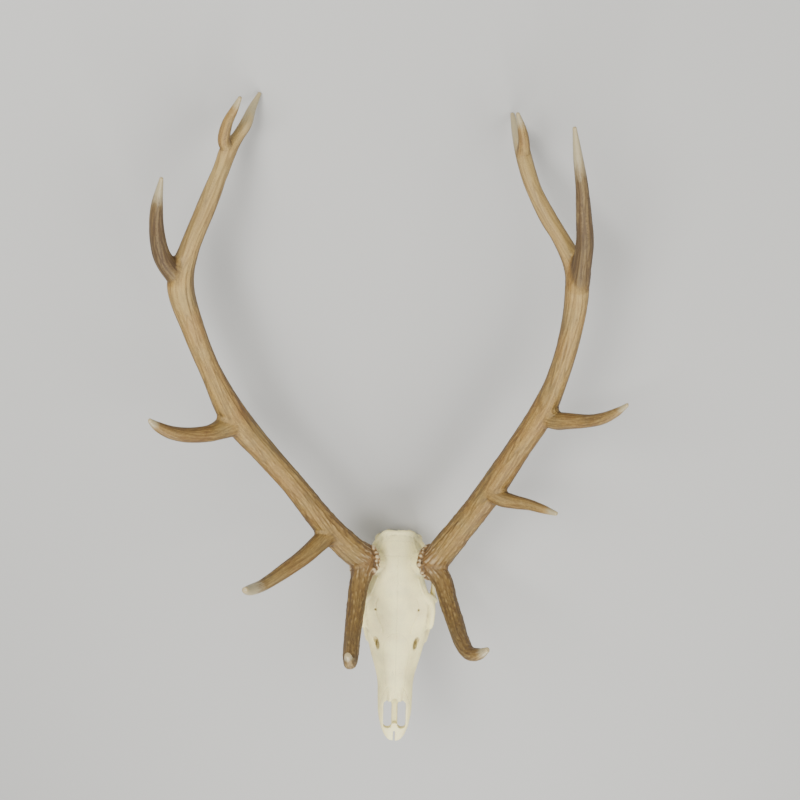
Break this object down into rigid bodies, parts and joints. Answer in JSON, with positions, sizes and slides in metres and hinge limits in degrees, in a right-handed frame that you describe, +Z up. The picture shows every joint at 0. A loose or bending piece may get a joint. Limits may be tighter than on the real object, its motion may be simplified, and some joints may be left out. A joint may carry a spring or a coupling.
{
  "type": "elk skull with antlers",
  "caption": "Bleached skull of a bull elk with both antlers, without the lower jaw, lying tipped back on its occiput and antler tips.",
  "frame": {"origin": "middle of the footprint, on the surface that the skull rests on", "axes": "+Z up; +Y from the nose towards the antler tips; +X towards the animal's left"},
  "size_m": [0.8846, 1.4778, 0.4513],
  "materials": {
    "bone": "bleached dry bone, matt with a faint sheen",
    "antler": "grooved brown antler with rubbed ivory tips",
    "enamel": "worn tooth enamel, stained in the folds"
  },
  "bodies": {
    "root": {"skull": "bone", "left_beam_base": "antler", "left_beam_middle": "antler", "left_beam_top": "antler", "left_brow_tine": "antler", "left_bez_tine": "antler", "left_trez_tine": "antler", "left_royal_tine": "antler", "left_surroyal_tine": "antler", "right_beam_base": "antler", "right_beam_middle": "antler", "right_beam_top": "antler", "right_brow_tine": "antler", "right_bez_tine": "antler", "right_trez_tine": "antler", "right_royal_tine": "antler", "right_surroyal_tine": "antler", "left_premolar_1": "enamel", "left_premolar_2": "enamel", "left_premolar_3": "enamel", "left_molar_1": "enamel", "left_molar_2": "enamel", "left_molar_3": "enamel", "right_premolar_1": "enamel", "right_premolar_2": "enamel", "right_premolar_3": "enamel", "right_molar_1": "enamel", "right_molar_2": "enamel", "right_molar_3": "enamel"}
  },
  "joints": []
}
